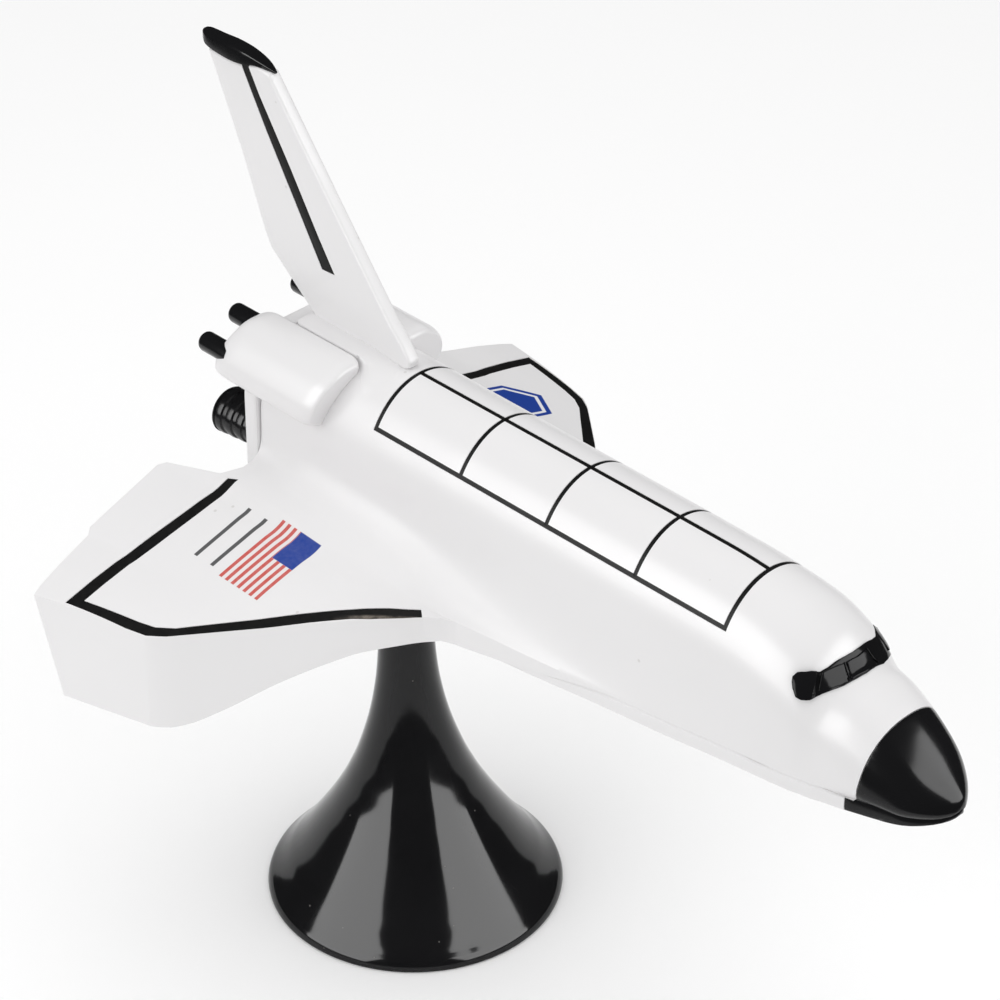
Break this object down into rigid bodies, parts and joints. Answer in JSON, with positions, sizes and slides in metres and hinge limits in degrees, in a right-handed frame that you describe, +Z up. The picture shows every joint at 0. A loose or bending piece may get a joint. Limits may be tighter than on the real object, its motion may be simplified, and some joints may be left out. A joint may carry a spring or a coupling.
{
  "type": "toy space shuttle on a display stand",
  "caption": "Glossy white toy space shuttle with black trim, fixed on a flared black display stand.",
  "frame": {"origin": "centre of the stand's round base, on the surface it stands on", "axes": "+X towards the nose, +Y towards the port wing, +Z up along the stand and the tail fin"},
  "size_m": [0.1915, 0.1274, 0.1745],
  "materials": {
    "hull_white": "gloss white",
    "belly_white": "gloss white",
    "nose_black": "gloss black paint",
    "window_black": "gloss black paint",
    "fin_white": "gloss white",
    "cap_black": "gloss black paint",
    "pad_white": "gloss white",
    "pod_white_r": "gloss white",
    "pod_white_l": "gloss white",
    "bulkhead_white": "gloss white",
    "peg_black_1": "gloss black paint",
    "peg_black_2": "gloss black paint",
    "peg_black_3": "gloss black paint",
    "peg_black_4": "gloss black paint",
    "bell_black_r": "gloss black paint",
    "bell_black_l": "gloss black paint",
    "bell_black_t": "gloss black paint",
    "stand_black": "gloss black"
  },
  "bodies": {
    "root": {"hull": "hull_white", "belly_plate": "belly_white", "nose_cap": "nose_black", "window_band": "window_black", "fin": "fin_white", "fin_cap": "cap_black", "deck_pad": "pad_white", "oms_pod_right": "pod_white_r", "oms_pod_left": "pod_white_l", "aft_bulkhead": "bulkhead_white", "peg_inner_right": "peg_black_1", "peg_outer_right": "peg_black_2", "peg_inner_left": "peg_black_3", "peg_outer_left": "peg_black_4", "engine_bell_right": "bell_black_r", "engine_bell_left": "bell_black_l", "engine_bell_top": "bell_black_t", "stand": "stand_black"}
  },
  "joints": []
}
